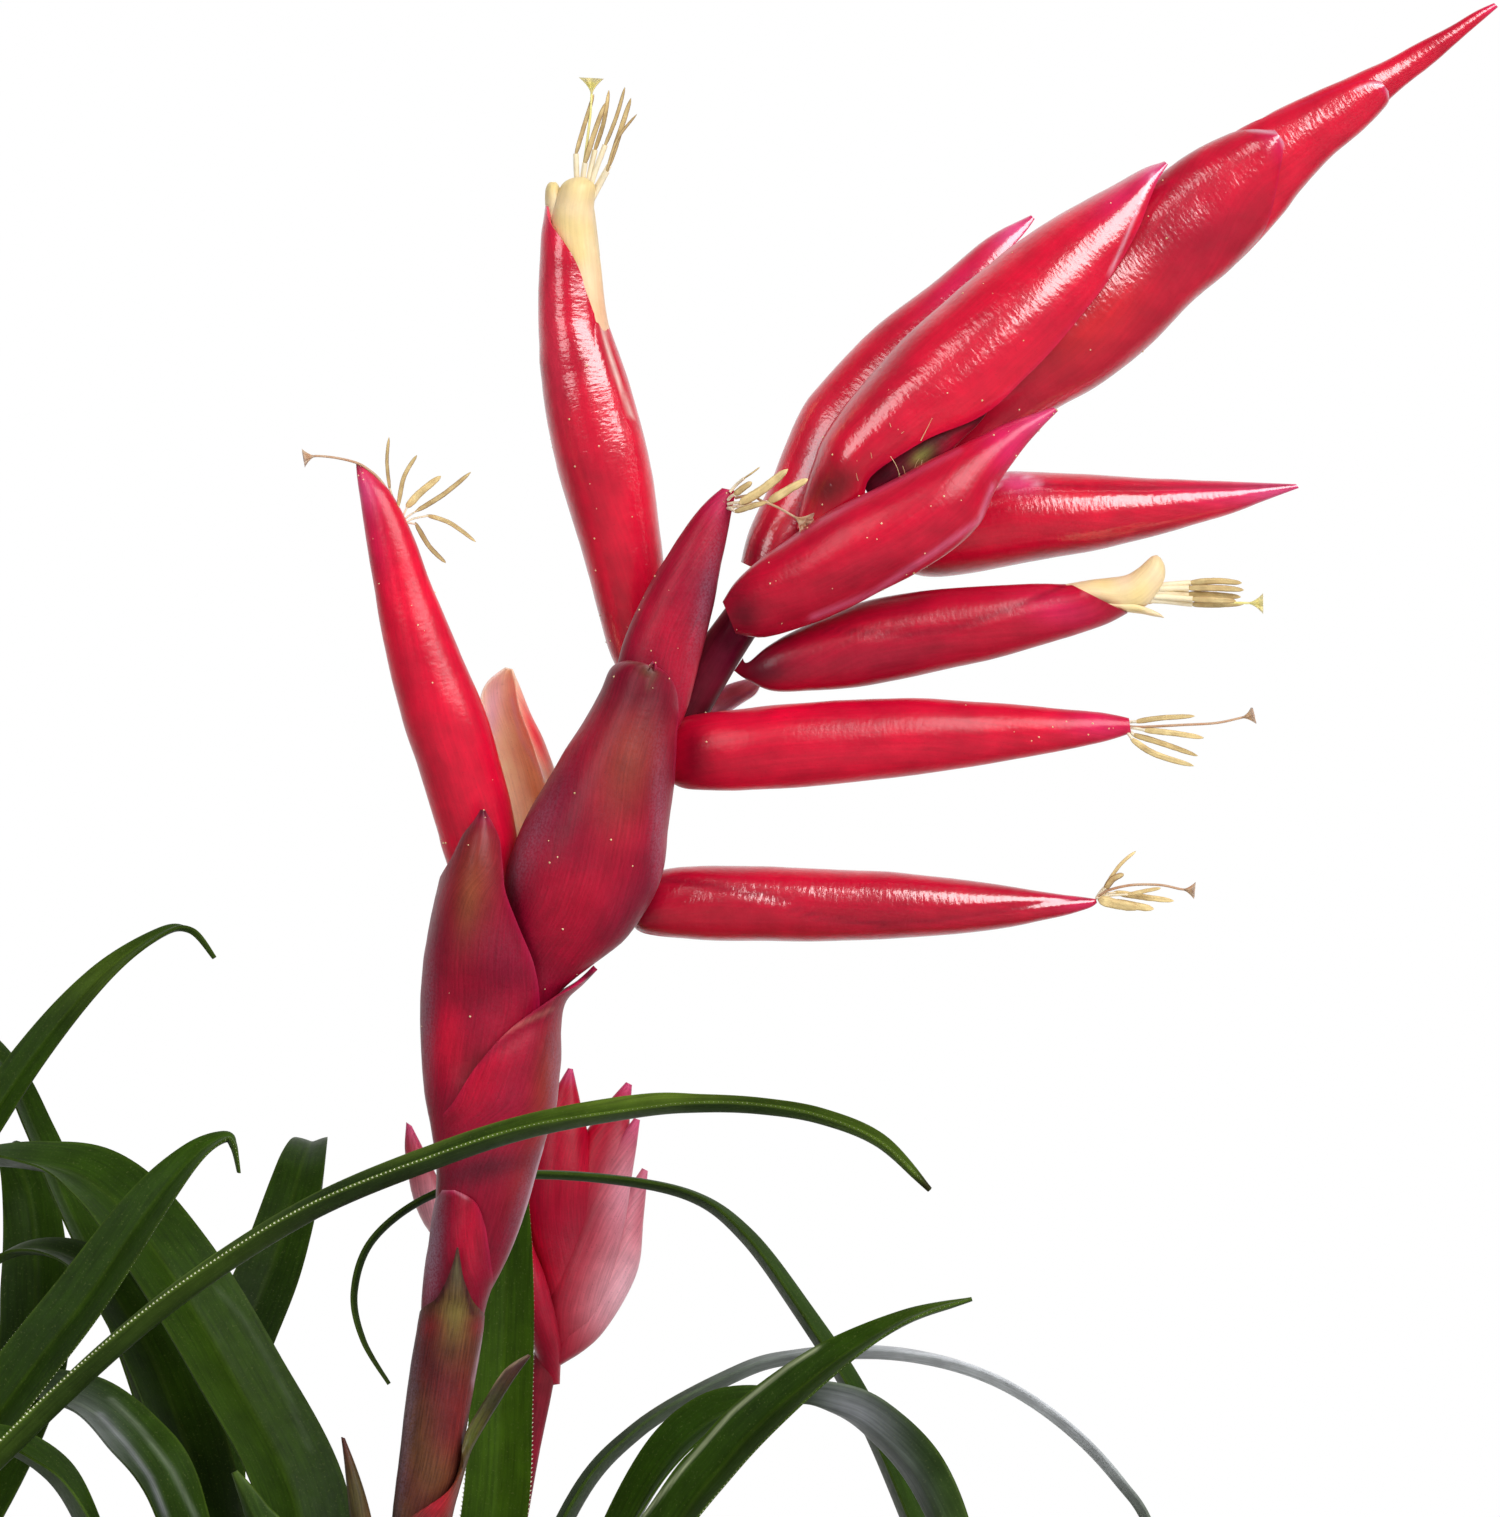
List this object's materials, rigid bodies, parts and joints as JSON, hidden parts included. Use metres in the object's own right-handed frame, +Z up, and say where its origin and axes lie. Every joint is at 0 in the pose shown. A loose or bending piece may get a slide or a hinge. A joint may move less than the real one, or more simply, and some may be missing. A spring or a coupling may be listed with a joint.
{
  "type": "astrid vriesea bromeliad",
  "caption": "Bromeliad clump of arching strap leaves with a leaning spike of glossy red bracts and tubular flowers with cream petals, and a younger spike behind.",
  "frame": {"origin": "on the flat cut underside of the rootstock, below the middle of the flowering rosette", "axes": "+Z up, +X to the right and +Y away from the viewer in the picture"},
  "size_m": [0.3662, 0.3175, 0.2614],
  "materials": {
    "leaf_green": "satin dark green blade with a waxy gloss",
    "bract_red": "glossy crimson with magenta tips",
    "stalk_red": "satin maroon",
    "sheath_brown": "satin brown red with fine veins",
    "petal_cream": "satin cream",
    "anther_straw": "matte tan",
    "bud_olive": "satin maroon and olive with fine pale hairs",
    "rootstock_brown": "matte brown fibrous"
  },
  "bodies": {
    "root": {"rootstock": "rootstock_brown", "low_leaves_main": "leaf_green", "low_leaves_left": "leaf_green", "low_leaves_right": "leaf_green", "low_leaves_back": "leaf_green", "leaf_front_arch": "leaf_green", "leaf_behind_left": "leaf_green", "leaf_left_hook": "leaf_green", "leaf_left_tall": "leaf_green", "leaf_left_back": "leaf_green", "leaf_broad_arch": "leaf_green", "leaf_upper_left": "leaf_green", "leaf_shaded_arch": "leaf_green", "leaf_back_broad": "leaf_green", "leaf_upright": "leaf_green", "leaf_right_blade": "leaf_green", "leaf_right_twist": "leaf_green", "leaf_right_arch": "leaf_green", "leaf_far_right": "leaf_green", "leaf_low_streaked": "leaf_green", "leaf_low_corner": "leaf_green", "leaf_small_tip": "leaf_green", "flower_stalk": "stalk_red", "stalk_bract_low_left": "sheath_brown", "stalk_bract_low_right": "sheath_brown", "stalk_bract_sheath": "sheath_brown", "stalk_bract_left": "bract_red", "stalk_bract_right": "bract_red", "floral_bract_1": "bract_red", "floral_bract_2": "bract_red", "floral_bract_3": "bract_red", "floral_bract_4": "bract_red", "floral_bract_small": "bract_red", "tip_bract_left": "bract_red", "tip_bract_front": "bract_red", "tip_bract_right": "bract_red", "tip_bract_upper": "bract_red", "tip_bract_end": "bract_red", "flower_bud": "bud_olive", "flower_1_calyx": "bract_red", "flower_2_calyx": "bract_red", "flower_3_calyx": "bract_red", "flower_4_calyx": "bract_red", "flower_5_calyx": "bract_red", "flower_6_calyx": "bract_red", "flower_7_calyx": "bract_red", "flower_5_petals": "petal_cream", "flower_6_petals": "petal_cream", "flower_1_stamens": "anther_straw", "flower_2_stamens": "anther_straw", "flower_3_stamens": "anther_straw", "flower_4_stamens": "anther_straw", "flower_5_stamens": "anther_straw", "flower_6_stamens": "anther_straw", "young_stalk": "stalk_red", "young_head": "bract_red"}
  },
  "joints": []
}
